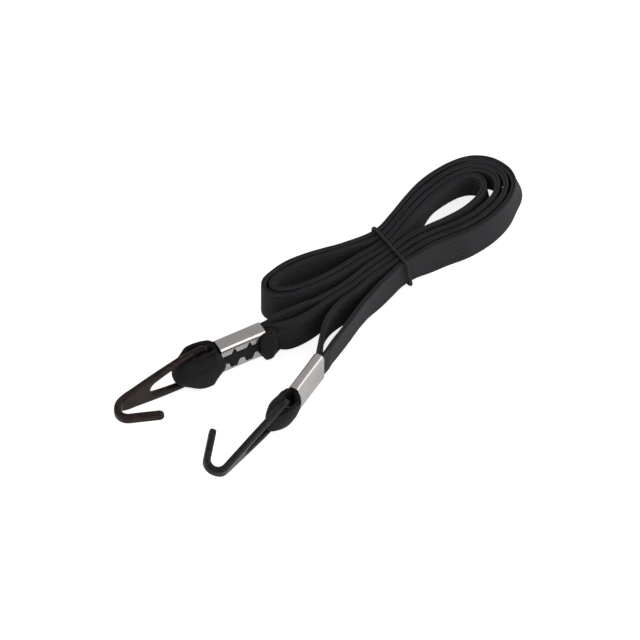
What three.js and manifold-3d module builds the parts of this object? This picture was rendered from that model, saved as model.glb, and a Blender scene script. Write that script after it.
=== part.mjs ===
// A flat elastic luggage strap with a plate hook at each end, folded into a hank
// and held by a rubber ring. Millimetres, +Z up, the hank along X.
//
// One elastic strap is used doubled. Its middle goes round the eye bar of hook B,
// its two cut ends go round the eye bar of hook A one inside the other, and a
// crimped sheet ferrule clamps each end. The two runs between the ferrules lie
// on edge in the hank. They are called the outer and the inner strand here.
import * as THREE from 'three';
import { mergeVertices } from 'three/addons/utils/BufferGeometryUtils.js';
import Module from 'manifold-3d';

const wasm = await Module();
wasm.setup();

// Clearances
const FIT = 0.3; // between two pieces that touch
const PLY_GAP = 0.45; // between two passes of one ply
const CUT_OVERRUN = 1; // how far a cutting body stands past what it cuts
const WELD_DISTANCE = 1e-5;

// Elastic strap
const STRAP_WIDTH = 16;
const STRAP_THICKNESS = 2;
const STRAP_CHAMFER = 0.45;
const LOOP_THICKNESS = 1.3; // stretched thin round an eye bar
const GATHER_LENGTH = 10; // over which it narrows towards a ferrule
const THINNING_LENGTH = 5;
const LONGEST_STEP = 5;
const MEASURING_STEP = 0.6;
const SAMPLES_PER_POINT = 40; // along a route, to find its stations
const RUN_IN = 2.2; // straight and thin outside a ferrule
const MOUTH_RUN = 2; // straight inside a ferrule's ends, where a loop or cut end comes out
const TURN_PER_STEP = THREE.MathUtils.degToRad(12);

// Hank
const WAIST_SPACING = 0.9; // air between neighbouring runs under the ring
const WAIST_SHIFT = 0.175; // middle of the eight runs, from the hank's axis
const WAIST_RUNS = 8;
const WAIST_SPREAD = 11; // reach of the squeeze to each side of the ring
const WAIST_LIFT = 1.8; // height of the squeezed lower edges
const WAIST_DROP = 0.8; // lowering of the squeezed upper edges

// Lean of the strap: how far its lower edge lies outside its upper edge
const RIGHT_LEAN = 3.7; // along the rear of the right-hand folds
const RIGHT_END_LEAN = 6.4; // round their far end
const END_A_LEAN = 0.4; // between ferrule A and the ring, towards the front
const END_B_LEAN = 2.1; // between the ring and ferrule B, towards the rear
const RIGHT_MIDDLE = [38, 9]; // inside the right-hand folds
const RIGHT_RUN_SLOPE = 0.47; // of the rear runs, across per along
const RIGHT_LEAN_START = 20; // along the rear runs
const RIGHT_LEAN_GROWTH = 20;
const RIGHT_END_START = 47;
const RIGHT_END_GROWTH = 13;
const FACING_START = -0.8; // a face turned this far to the rear starts to lean
const FACING_GROWTH = 1.2;
const END_LEAN_GROWTH = 9;
const END_A_LEAN_REACH = 11; // distance from the ferrule to where it fades
const OUTER_END_B_LEAN_REACH = 34;
const INNER_END_B_LEAN_REACH = 18;
const END_LEAN_FADING = 18;

// Rubber ring
const RING_DIAMETER = 1.4;
const RING_CORNER = 2.4;
const RING_SLANT = THREE.MathUtils.degToRad(4);
const RING_LEAN = THREE.MathUtils.degToRad(9);
const RING_CORNER_STEPS = 5;
const RING_RUN_STEPS = 4;
const RING_SIDES = 8;

// Ferrules
const FERRULE_LENGTH = 20.5;
const FERRULE_HEIGHT = 14.6;
const FERRULE_WALL = 0.6;
const FERRULE_CORNER = 2.2;
const END_A_HEIGHT = 9; // ferrule centre above the surface
const END_B_HEIGHT = 8.6;
const PLY_THICKNESS_A = 1.15;
const PLY_THICKNESS_B = 1.3;
const SEAM_OPENING = 4.9;
const SEAM_RISE = 0.35; // middle of the seam above the middle of the ferrule
const UPPER_NOTCH_DEPTH = 2.3;
const UPPER_NOTCH_WIDTH = 2.4;
const LOWER_NOTCH_DEPTH = 3;
const LOWER_NOTCH_WIDTH = 4.8;
const UPPER_ROOT_SHARE = 0.1; // half width of a notch at its root, of its width at the edge
const LOWER_ROOT_SHARE = 0.28;
const NOTCH_SHARES = [0.29, 0.63]; // of the ferrule's length, from its mouth
const FERRULE_CORNER_STEPS = 5;

// Plate hooks, both alike
const HOOK_THICKNESS = 2.8; // with its coating
const HOOK_CHAMFER = 0.6;
const HOOK_A_REACH = 45.7; // eye bar centre to the outside of the bend
const HOOK_B_REACH = 45.2; // the same blank, bent a little earlier
const BLANK_LENGTH = 65.5; // eye bar centre to the tip, before bending
const EYE_BAR = 2.8;
const EYE_WIDTH = 17.6;
const EYE_CORNER = 4.2;
const EYE_TAPER_START = 12; // eye bar centre to where the side bars start to close
const TAPER_SHARES = [0, 1 / 3, 2 / 3, 1]; // stations on the side bars
const TAPER_BOW_SHARE = 0.25; // outward bow of the side bars' rims
const BEND_RADIUS = 4.3; // centre line
const BEND_TURN = THREE.MathUtils.degToRad(153);
const TIP_WIDTH = 4;
const TIP_FLAT_SHARE = 0.25; // of the tip's width
const NECK_WIDTH = 9.4;
const NECK_DISTANCE = 10; // from the outside of the bend
const WINDOW_LENGTH = 25.6; // eye bar face to the narrow end of the window
const WINDOW_NOSE = 3.2; // radius of the window's narrow end
const WINDOW_CORNER = 2.2;
const WINDOW_BOW_SHARE = 1 / 3; // of the window's narrowing, reached half way along its sides
const BEND_STEPS = 12;
const ROUND_STEPS = 5;

// Where the ends lie. The heading is the way from the hank to the hook.
const FERRULE_A_ENTRY = [-66, -12.8];
const FERRULE_A_HEADING = THREE.MathUtils.degToRad(180);
const PIVOT_A = [5, -0.5];
const PIVOT_A_RISE = 0.9; // above the ferrule's middle
const HOOK_A_SWING = THREE.MathUtils.degToRad(4.5);
const HOOK_A_ROLL = 0;
const HOOK_A_PITCH = THREE.MathUtils.degToRad(-1.9); // bend below the eye
const FERRULE_B_ENTRY = [-53.23, -36.64];
const FERRULE_B_HEADING = THREE.MathUtils.degToRad(211);
const PIVOT_B = [6.75, -0.9];
const PIVOT_B_RISE = 0.28;
const HOOK_B_SWING = THREE.MathUtils.degToRad(-6);
const HOOK_B_ROLL = THREE.MathUtils.degToRad(-18);
const HOOK_B_PITCH = THREE.MathUtils.degToRad(1);
const ROLL_START = 1; // along the loop, where it starts to follow the roll
const ROLL_LENGTH = 5;

// Routes of the strap's centre line in plan, chosen by hand. Right-hand folds
// run from the waist out and back, the outermost and the innermost one.
const OUTER_FOLD = [
  [12, -8.2], [21, -8], [32, -8.4], [45, -5.8], [55, -0.5], [60.3, 6], [61.1, 13.2],
  [58.2, 20.3], [52.8, 24.4], [45.2, 26.3], [36.5, 25.7], [27, 23.2], [9, 14.3],
];
const INNER_FOLD = [
  [8.3, 0.8], [18.6, 1.5], [27, 1.7], [36, 2.8], [45, 6.3], [49.1, 10.4], [49.2, 14.6],
  [47, 17], [43.3, 17.8], [36.3, 17], [27.3, 14.4], [16.7, 9.7], [6, 4.3],
];
const FOLDS = 4;
const FOLD_SHARES = [0, 0.26, 0.52, 1]; // from the outermost fold to the innermost
const FAN_SHARES = [0, 0.3, 0.6, 0.8, 1, 1, 1, 0.5, 0.2, 0, 0, 0, 0]; // of that share, point by point

// Left-hand folds, from the waist out and back.
const OUTER_RETURN = [
  [-15, -1.5], [-30, -3.9], [-38, -3.8], [-47, -3.2], [-52.8, -0.5], [-55, 4.5],
  [-53, 8.5], [-46.8, 11.1], [-40.3, 12.4], [-32, 12.2], [-24.6, 11.2], [-17, 9.9],
  [-9, 9.6],
];
const INNER_RETURN = [
  [-15, 1.5], [-30, -1.2], [-40, -1.1], [-47, 0.2], [-50.6, 2.4], [-51.6, 5],
  [-49.3, 7.4], [-43, 9.1], [-32, 9.3], [-17, 7.2], [-9, 6.8],
];

// The four free ends, from the waist to the ferrules.
const END_4 = [[-12, -4.5], [-25, -8.5], [-38, -10.4], [-50, -10], [-60, -10.2]];
const END_3 = [[-12, -7.5], [-25, -11.2], [-35.3, -13], [-46.5, -15.4], [-54, -15.6], [-60.5, -14]];
const END_2 = [
  [-13.7, -10.8], [-22.7, -13.8], [-32.2, -16.5], [-39.2, -20.2], [-44.6, -25.1],
  [-48.4, -30.4],
];
const END_1 = [
  [-6.5, -12.6], [-15, -16.6], [-24.4, -21.3], [-33.2, -26.7], [-42, -31.8],
  [-47.6, -34.7],
];

// Half routes of the plies round the eye bars: along the ferrule's axis from its
// mouth, and away from that axis. The last value of each is where the ply turns.
const OUTER_PLY_A_FRONT = [
  [0.8, 2.65], [2.1, 3.9], [4.1, 5.2], [6.5, 5.6], [10, 5.4], [14, 4.6], [17.3, 2.9],
];
const OUTER_PLY_A_REAR = [
  [0.8, 2.65], [2.1, 3.8], [4.1, 5.5], [6.5, 6.6], [10, 6.7], [14, 5.7], [17.3, 3.4],
];
const OUTER_PLY_A_TURN = 18.8;
const INNER_PLY_A_FRONT = [
  [1.6, 1.2], [3, 2.4], [4.6, 3.5], [6.5, 3.9], [10, 3.75], [13.5, 3.2], [15.9, 1.8],
];
const INNER_PLY_A_REAR = [
  [1.6, 1.35], [2.9, 2.55], [4.5, 3.75], [6.5, 4.7], [10, 4.9], [13.5, 4.1], [15.9, 2.3],
];
const INNER_PLY_A_TURN = 16.9;
const PLY_B_FRONT = [
  [1.4, 1.3], [3, 2.6], [4.8, 4], [6.8, 4.5], [9.5, 4.3], [12.3, 3.5], [14.7, 2],
];
const PLY_B_REAR = [
  [1.4, 1.3], [3, 2.5], [4.8, 3.7], [6.8, 4.2], [9.5, 4.1], [12.3, 3.3], [14.7, 1.9],
];
const PLY_B_TURN = 15.75;
const LOOP_A_DRIFT = 0.04; // sideways per length, towards the front
const LOOP_B_DRIFT = -0.13;
const LOOP_A_RISE = 0.45; // of the ply's middle where it goes through the window
const LOOP_B_RISE = 0.2;
const LOOP_FULL_WIDTH = 14.6;
const LOOP_SWELL = 3; // from the mouth to the full width
const LOOP_NARROWING_START = 7;
const LOOP_NARROWING_SHARE = 0.82; // of the way to the turn, where it is narrow enough for the window
const WINDOW_PLAY = 0.7; // between the ply's edges and the window's bars
const OUTER_CUT_END = [[1.2, 0.9], [2.4, 2.3], [3.6, 4]]; // past the ferrule, and to the front
const INNER_CUT_END = [[1.2, 0.45], [2.4, 1.3], [3.6, 2.3]];

// Colours
const ELASTIC_BLACK = new THREE.MeshStandardMaterial({ color: 0x2c2a2e, roughness: 0.85, metalness: 0 });
const COATED_STEEL = new THREE.MeshStandardMaterial({ color: 0x1d1b1c, roughness: 0.35, metalness: 0.2 });
const BRIGHT_STEEL = new THREE.MeshStandardMaterial({ color: 0xb9b7b8, roughness: 0.3, metalness: 1 });
const RUBBER_BLACK = new THREE.MeshStandardMaterial({ color: 0x1b1b1c, roughness: 0.7, metalness: 0 });

// Derived sizes
const waistPitch = STRAP_THICKNESS + WAIST_SPACING;
const ferruleBore = FERRULE_HEIGHT - 2 * FERRULE_WALL;
const gatheredWidth = ferruleBore - 3 * FIT;
const innerPlyOffsetA = (PLY_GAP + PLY_THICKNESS_A) / 2;
const outerPlyOffsetA = innerPlyOffsetA + PLY_THICKNESS_A + FIT;
const plyOffsetB = (PLY_GAP + PLY_THICKNESS_B) / 2;
const ferruleThicknessA = 2 * (outerPlyOffsetA + PLY_THICKNESS_A / 2 + FIT + FERRULE_WALL);
const ferruleThicknessB = 2 * (plyOffsetB + PLY_THICKNESS_B / 2 + FIT + FERRULE_WALL);
const windowWidth = EYE_WIDTH - 2 * EYE_BAR;
const bendLength = BEND_RADIUS * BEND_TURN;
const onHeading = ([x, y], heading, length) => [
  x + Math.cos(heading) * length,
  y + Math.sin(heading) * length,
];
const ferruleMouthA = onHeading(FERRULE_A_ENTRY, FERRULE_A_HEADING, FERRULE_LENGTH);
const ferruleMouthB = onHeading(FERRULE_B_ENTRY, FERRULE_B_HEADING, FERRULE_LENGTH);

const smooth = (t) => THREE.MathUtils.smoothstep(t, 0, 1);
const lerp = THREE.MathUtils.lerp;

// A closed mesh from rings of points, joined one after another. Open runs get
// flat ends, and a closed run joins its last ring to its first.
function skin(rings, closed) {
  const sides = rings[0].length;
  const positions = rings.flat().flatMap((point) => [point.x, point.y, point.z]);
  const index = [];
  const links = closed ? rings.length : rings.length - 1;
  for (let ring = 0; ring < links; ring += 1) {
    const here = ring * sides;
    const next = ((ring + 1) % rings.length) * sides;
    for (let side = 0; side < sides; side += 1) {
      const turned = (side + 1) % sides;
      index.push(here + side, here + turned, next + turned);
      index.push(here + side, next + turned, next + side);
    }
  }
  if (!closed) {
    const last = (rings.length - 1) * sides;
    for (let side = 1; side < sides - 1; side += 1) {
      index.push(0, side + 1, side);
      index.push(last, last + side, last + side + 1);
    }
  }
  const geometry = new THREE.BufferGeometry();
  geometry.setAttribute('position', new THREE.Float32BufferAttribute(positions, 3));
  geometry.setIndex(index);
  return geometry;
}

// A rectangle with cut corners, anticlockwise, as [across, up] pairs.
function chamferedRectangle(thickness, height, chamfer) {
  const across = thickness / 2;
  const up = height / 2;
  return [
    [across, up - chamfer], [across - chamfer, up],
    [chamfer - across, up], [-across, up - chamfer],
    [-across, chamfer - up], [chamfer - across, -up],
    [across - chamfer, -up], [across, chamfer - up],
  ];
}

// Stations along a smooth line: closer where it turns more.
function stationsAlong(points, longest = LONGEST_STEP) {
  const curve = new THREE.CatmullRomCurve3(points, false, 'centripetal');
  const samples = points.length * SAMPLES_PER_POINT;
  const stations = [];
  let walked = 0;
  let since = 0;
  let previous = curve.getPoint(0);
  let heading = curve.getTangent(0);
  stations.push({ place: previous, tangent: heading, walked });
  for (let sample = 1; sample <= samples; sample += 1) {
    const t = sample / samples;
    const place = curve.getPoint(t);
    const tangent = curve.getTangent(t);
    const step = place.distanceTo(previous);
    walked += step;
    since += step;
    previous = place;
    const turned = tangent.angleTo(heading) > TURN_PER_STEP;
    if (turned || since > longest || sample === samples) {
      stations.push({ place, tangent, walked });
      heading = tangent;
      since = 0;
    }
  }
  return stations;
}

// The strap swept on edge along stations. shapeAt gives height, thickness and
// the tilt of the strap's width from upright at a station.
function strapSolid(stations, shapeAt) {
  const total = stations[stations.length - 1].walked;
  const rings = stations.map((station) => {
    const shape = shapeAt(station, total);
    const along = new THREE.Vector3(station.tangent.x, station.tangent.y, 0).normalize();
    const up = new THREE.Vector3(...shape.up);
    const across = new THREE.Vector3().crossVectors(up, along).normalize();
    const outline = chamferedRectangle(shape.thickness, shape.height, STRAP_CHAMFER);
    const [shiftX, shiftY] = shape.shift;
    const centre = new THREE.Vector3(station.place.x + shiftX, station.place.y + shiftY, shape.centre);
    return outline.map(([side, rise]) => (
      centre.clone().addScaledVector(across, side).addScaledVector(up, rise)
    ));
  });
  return skin(rings, false);
}

// A run of the hank at the waist, counted from the front.
const waistPlace = (run) => [0, (run - (WAIST_RUNS + 1) / 2) * waistPitch + WAIST_SHIFT];

// One right-hand fold between the outermost and the innermost one. The folds are
// evenly spaced at the waist and along the rear, and fan out towards the end.
function rightFold(fold) {
  const evenShare = fold / (FOLDS - 1);
  return OUTER_FOLD.map(([x, y], point) => {
    const share = lerp(evenShare, FOLD_SHARES[fold], FAN_SHARES[point]);
    const [innerX, innerY] = INNER_FOLD[point];
    return [lerp(x, innerX, share), lerp(y, innerY, share)];
  });
}

// A place given along and across a ferrule's axis, in the hank's plan.
function fromFerrule(mouth, heading, along, across) {
  return [
    mouth[0] + Math.cos(heading) * along - Math.sin(heading) * across,
    mouth[1] + Math.sin(heading) * along + Math.cos(heading) * across,
  ];
}

// The middle of a ferrule and its hank end, where a strand runs in.
function runIn(mouth, heading, across) {
  return [
    fromFerrule(mouth, heading, -FERRULE_LENGTH - RUN_IN, across),
    fromFerrule(mouth, heading, -FERRULE_LENGTH + RUN_IN, across),
    fromFerrule(mouth, heading, -(FERRULE_LENGTH + FIT) / 2, across),
  ];
}

const inPlan = ([x, y]) => new THREE.Vector3(x, y, 0);
const backwards = (points) => [...points].reverse();

// Outer strand: ferrule A, run 4, innermost fold, run 5, outer return, run 8,
// outermost fold, run 1, ferrule B.
const outerStrandRoute = [
  ...backwards(runIn(ferruleMouthA, FERRULE_A_HEADING, -outerPlyOffsetA)),
  ...backwards(END_4), waistPlace(4),
  ...rightFold(3), waistPlace(5),
  ...OUTER_RETURN, waistPlace(8),
  ...backwards(rightFold(0)), waistPlace(1),
  ...END_1, ...runIn(ferruleMouthB, FERRULE_B_HEADING, plyOffsetB),
];

// Inner strand: ferrule A, run 3, third fold, run 6, inner return, run 7,
// second fold, run 2, ferrule B.
const innerStrandRoute = [
  ...backwards(runIn(ferruleMouthA, FERRULE_A_HEADING, -innerPlyOffsetA)),
  ...backwards(END_3), waistPlace(3),
  ...rightFold(2), waistPlace(6),
  ...INNER_RETURN, waistPlace(7),
  ...backwards(rightFold(1)), waistPlace(2),
  ...END_2, ...runIn(ferruleMouthB, FERRULE_B_HEADING, -plyOffsetB),
];

// How far the lower edge of a run lies outside its upper edge, as a shift in plan.
function leanShift({ place, tangent }, fromA, fromB, reachB) {
  const across = new THREE.Vector2(-tangent.y, tangent.x).normalize();
  const [middleX, middleY] = RIGHT_MIDDLE;
  const rightSide = Math.sign(across.x * (place.x - middleX) + across.y * (place.y - middleY));
  const facing = smooth((rightSide * across.y - FACING_START) / FACING_GROWTH);
  const alongRear = place.x + RIGHT_RUN_SLOPE * place.y;
  const right = facing * smooth((alongRear - RIGHT_LEAN_START) / RIGHT_LEAN_GROWTH);
  const rightLean = lerp(RIGHT_LEAN, RIGHT_END_LEAN, smooth((place.x - RIGHT_END_START) / RIGHT_END_GROWTH));
  const fading = (distance, reach) => 1 - smooth((distance - reach) / END_LEAN_FADING);
  const endA = smooth(fromA / END_LEAN_GROWTH) * fading(fromA, END_A_LEAN_REACH);
  const endB = smooth(fromB / END_LEAN_GROWTH) * fading(fromB, reachB);
  return across.multiplyScalar(rightLean * right * rightSide - END_A_LEAN * endA - END_B_LEAN * endB);
}

// A strand stands on its lower edge, is squeezed and lifted under the ring, and
// narrows and rises towards a ferrule.
const strandShape = (reachB) => (station, total) => {
  const squeeze = Math.exp(-((station.place.x / WAIST_SPREAD) ** 4));
  const inside = FERRULE_LENGTH / 2 + RUN_IN;
  const fromA = station.walked - inside;
  const fromB = total - station.walked - inside;
  const gather = 1 - smooth(Math.min(fromA, fromB) / GATHER_LENGTH);
  const thinA = 1 - smooth(fromA / THINNING_LENGTH);
  const thinB = 1 - smooth(fromB / THINNING_LENGTH);
  const ferruleHeight = fromA < fromB ? END_A_HEIGHT : END_B_HEIGHT;
  const low = lerp(WAIST_LIFT * squeeze, ferruleHeight - gatheredWidth / 2, gather);
  const high = lerp(STRAP_WIDTH - WAIST_DROP * squeeze, ferruleHeight + gatheredWidth / 2, gather);
  const lean = leanShift(station, fromA, fromB, reachB);
  const height = high - low;
  const upright = Math.sqrt(height ** 2 - lean.lengthSq());
  return {
    centre: low + upright / 2 + lean.length() / height * STRAP_THICKNESS / 2,
    height,
    shift: [lean.x / 2, lean.y / 2],
    thickness: STRAP_THICKNESS - (STRAP_THICKNESS - PLY_THICKNESS_A) * thinA
      - (STRAP_THICKNESS - PLY_THICKNESS_B) * thinB,
    up: [-lean.x / height, -lean.y / height, upright / height],
  };
};

const outerStations = stationsAlong(outerStrandRoute.map(inPlan));
const innerStations = stationsAlong(innerStrandRoute.map(inPlan));

// Least air between two runs, from the centre lines of their upper and of their
// lower edges. Within one strand only places further apart along it than its
// width count.
function leastGap(first, second) {
  let least = Infinity;
  let where = '';
  for (const a of first) {
    for (const b of second) {
      if (first !== second || Math.abs(a.walked - b.walked) > STRAP_WIDTH) {
        const gap = Math.min(a.upper.distanceTo(b.upper), a.lower.distanceTo(b.lower)) - STRAP_THICKNESS;
        if (gap < least) {
          least = gap;
          where = `at ${a.upper.x.toFixed(0)}, ${a.upper.y.toFixed(0)}`;
        }
      }
    }
  }
  return `${least.toFixed(2)} ${where}`;
}

// Edge places of a strand between its two run-ins, with the length walked.
function edgePlaces(stations, reachB) {
  const total = stations[stations.length - 1].walked;
  const inside = FERRULE_LENGTH / 2 + RUN_IN;
  const least = inside + THINNING_LENGTH;
  return stations
    .filter(({ walked }) => walked > least && total - walked > least)
    .map(({ place, tangent, walked }) => {
      const shift = leanShift({ place, tangent }, walked - inside, total - walked - inside, reachB);
      return { walked, upper: place, lower: new THREE.Vector3(place.x + shift.x, place.y + shift.y, 0) };
    });
}

const placesOn = (route, reachB) => edgePlaces(stationsAlong(route.map(inPlan), MEASURING_STEP), reachB);
const outerPlaces = placesOn(outerStrandRoute, OUTER_END_B_LEAN_REACH);
const innerPlaces = placesOn(innerStrandRoute, INNER_END_B_LEAN_REACH);
console.log('least gap of the outer strand to itself', leastGap(outerPlaces, outerPlaces));
console.log('least gap of the inner strand to itself', leastGap(innerPlaces, innerPlaces));
console.log('least gap between the strands', leastGap(outerPlaces, innerPlaces));
console.log('strand lengths', outerStations.at(-1).walked.toFixed(0), innerStations.at(-1).walked.toFixed(0));

// A ply round an eye bar in the frame of its ferrule: along from the mouth, and
// across, positive to the front. A cut end runs on through the ferrule.
function plyRoute(frontHalf, rearHalf, turn, offset, drift, cutEnd) {
  const middle = -(FERRULE_LENGTH - FIT) / 2;
  const back = [[middle, -offset], [-MOUTH_RUN, -offset], [0, -offset]];
  const out = rearHalf.map(([along, across]) => [along, drift * along - across]);
  const home = backwards(frontHalf).map(([along, across]) => [along, drift * along + across]);
  const front = [[0, offset], [-MOUTH_RUN, offset]];
  const end = cutEnd
    ? [[-FERRULE_LENGTH + MOUTH_RUN, offset], [-FERRULE_LENGTH, offset]]
      .concat(cutEnd.map(([along, across]) => [-FERRULE_LENGTH - along, offset + across]))
    : [[middle, offset]];
  return [...back, ...out, [turn, drift * turn], ...home, ...front, ...end];
}

// The ply follows the roll of its hook past the ferrule, and narrows to pass
// through the hook's window.
function plySolid(route, turn, thicknessInside, roll, rise) {
  const stations = stationsAlong(route.map(inPlan));
  const narrowed = windowWidth - 2 * WINDOW_PLAY;
  const narrowingLength = LOOP_NARROWING_SHARE * turn - LOOP_NARROWING_START;
  const shapeAt = ({ place }) => {
    const along = Math.max(place.x, 0);
    const lean = roll * smooth((along - ROLL_START) / ROLL_LENGTH);
    const swollen = lerp(gatheredWidth, LOOP_FULL_WIDTH, smooth(along / LOOP_SWELL));
    const narrowing = smooth((along - LOOP_NARROWING_START) / narrowingLength);
    return {
      centre: place.y * Math.sin(lean) + rise * narrowing,
      height: lerp(swollen, narrowed, narrowing),
      shift: [0, 0],
      thickness: lerp(thicknessInside, LOOP_THICKNESS, smooth(along / THINNING_LENGTH)),
      up: [0, -Math.sin(lean), Math.cos(lean)],
    };
  };
  return strapSolid(stations, shapeAt);
}

// The rubber ring: a closed loop of round cord round the eight squeezed runs,
// slanted across the hank and leaning as it goes down the front.
function rubberRing() {
  const radius = RING_DIAMETER / 2;
  const first = waistPlace(1)[1] - STRAP_THICKNESS / 2;
  const last = waistPlace(WAIST_RUNS)[1] + STRAP_THICKNESS / 2;
  const front = first - FIT - radius;
  const rear = last + FIT + radius;
  const low = WAIST_LIFT - FIT - radius;
  const high = STRAP_WIDTH - WAIST_DROP + FIT + radius;
  const corners = [
    [rear - RING_CORNER, high - RING_CORNER], [front + RING_CORNER, high - RING_CORNER],
    [front + RING_CORNER, low + RING_CORNER], [rear - RING_CORNER, low + RING_CORNER],
  ];
  const line = [];
  corners.forEach(([across, up], corner) => {
    for (let step = 0; step <= RING_CORNER_STEPS; step += 1) {
      const angle = (corner + step / RING_CORNER_STEPS) * Math.PI / 2;
      line.push([across + Math.cos(angle) * RING_CORNER, up + Math.sin(angle) * RING_CORNER]);
    }
    const from = line[line.length - 1];
    const [nextAcross, nextUp] = corners[(corner + 1) % corners.length];
    const arrival = (corner + 1) * Math.PI / 2;
    const to = [
      nextAcross + Math.cos(arrival) * RING_CORNER,
      nextUp + Math.sin(arrival) * RING_CORNER,
    ];
    for (let step = 1; step < RING_RUN_STEPS; step += 1) {
      const share = step / RING_RUN_STEPS;
      line.push([lerp(from[0], to[0], share), lerp(from[1], to[1], share)]);
    }
  });
  const middle = (front + rear) / 2;
  const places = line.map(([across, up]) => new THREE.Vector3(
    (middle - across) * Math.tan(RING_SLANT) + (high - up) * Math.tan(RING_LEAN) * (across < middle ? 1 : 0),
    across,
    up,
  ));
  const rings = places.map((place, index) => {
    const before = places[(index + places.length - 1) % places.length];
    const after = places[(index + 1) % places.length];
    const along = new THREE.Vector3().subVectors(after, before).normalize();
    const side = new THREE.Vector3().crossVectors(along, new THREE.Vector3(1, 0, 0)).normalize();
    const other = new THREE.Vector3().crossVectors(along, side);
    return Array.from({ length: RING_SIDES }, (unused, corner) => {
      const angle = (corner + 1 / 2) / RING_SIDES * 2 * Math.PI;
      return place.clone()
        .addScaledVector(side, Math.cos(angle) * radius)
        .addScaledVector(other, Math.sin(angle) * radius);
    });
  });
  return skin(rings, true);
}

// Booleans
function toManifold(geometry) {
  const bare = geometry.clone();
  bare.deleteAttribute('normal');
  bare.deleteAttribute('uv');
  const merged = mergeVertices(bare, WELD_DISTANCE);
  const mesh = new wasm.Mesh({
    numProp: 3,
    vertProperties: new Float32Array(merged.attributes.position.array),
    triVerts: new Uint32Array(merged.index.array),
  });
  return new wasm.Manifold(mesh);
}

function fromManifold(solid) {
  const mesh = solid.getMesh();
  const geometry = new THREE.BufferGeometry();
  geometry.setAttribute('position', new THREE.BufferAttribute(mesh.vertProperties, 3));
  geometry.setIndex(new THREE.BufferAttribute(mesh.triVerts, 1));
  return geometry;
}

// A ferrule: sheet steel rolled round the plies with its two edges left apart
// at the seam, and the edges notched so that they bite. It lies along X from its
// hank end to its mouth at zero, with the seam on the side given by seamSide.
function ferrule(thickness, seamSide) {
  const half = thickness / 2;
  const tall = FERRULE_HEIGHT / 2;
  const corner = Math.min(FERRULE_CORNER, half - FIT);
  const inner = Math.max(corner - FERRULE_WALL, FIT);
  const upperEdge = SEAM_RISE + SEAM_OPENING / 2;
  const lowerEdge = SEAM_RISE - SEAM_OPENING / 2;
  const profile = [];
  const addCorners = (radius, inset, order) => {
    for (const quarter of order) {
      const signs = [[1, 1], [-1, 1], [-1, -1], [1, -1]][quarter];
      const centreAcross = signs[0] * (half - inset - radius);
      const centreUp = signs[1] * (tall - inset - radius);
      for (let step = 0; step <= FERRULE_CORNER_STEPS; step += 1) {
        const share = order[0] === 0 ? step : FERRULE_CORNER_STEPS - step;
        const angle = (quarter + share / FERRULE_CORNER_STEPS) * Math.PI / 2;
        profile.push([centreAcross + Math.cos(angle) * radius, centreUp + Math.sin(angle) * radius]);
      }
    }
  };
  profile.push([half, upperEdge]);
  addCorners(corner, 0, [0, 1, 2, 3]);
  profile.push([half, lowerEdge], [half - FERRULE_WALL, lowerEdge]);
  addCorners(inner, FERRULE_WALL, [3, 2, 1, 0]);
  profile.push([half - FERRULE_WALL, upperEdge]);
  const shape = new THREE.Shape(profile.map(([across, up]) => new THREE.Vector2(across * seamSide, up)));
  const sleeve = new THREE.ExtrudeGeometry(shape, { depth: FERRULE_LENGTH, bevelEnabled: false });
  sleeve.rotateX(Math.PI / 2);
  sleeve.rotateZ(Math.PI / 2);
  sleeve.translate(-FERRULE_LENGTH, 0, 0);
  let solid = toManifold(sleeve);
  for (const share of NOTCH_SHARES) {
    const along = -FERRULE_LENGTH * share;
    for (const [width, from, depth] of [
      [UPPER_NOTCH_WIDTH, upperEdge, UPPER_NOTCH_DEPTH],
      [LOWER_NOTCH_WIDTH, lowerEdge, -LOWER_NOTCH_DEPTH],
    ]) {
      const root = width * (depth > 0 ? UPPER_ROOT_SHARE : LOWER_ROOT_SHARE);
      const open = from - Math.sign(depth) * CUT_OVERRUN;
      const outline = new THREE.Shape([
        [along - width / 2, open], [along + width / 2, open], [along + width / 2, from],
        [along + root, from + depth], [along - root, from + depth], [along - width / 2, from],
      ].map(([x, y]) => new THREE.Vector2(x, y)));
      const cutter = new THREE.ExtrudeGeometry(outline, { depth: half, bevelEnabled: false });
      cutter.rotateX(Math.PI / 2);
      cutter.translate(0, seamSide > 0 ? half + CUT_OVERRUN : -CUT_OVERRUN, 0);
      solid = solid.subtract(toManifold(cutter));
    }
  }
  return fromManifold(solid);
}

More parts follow.
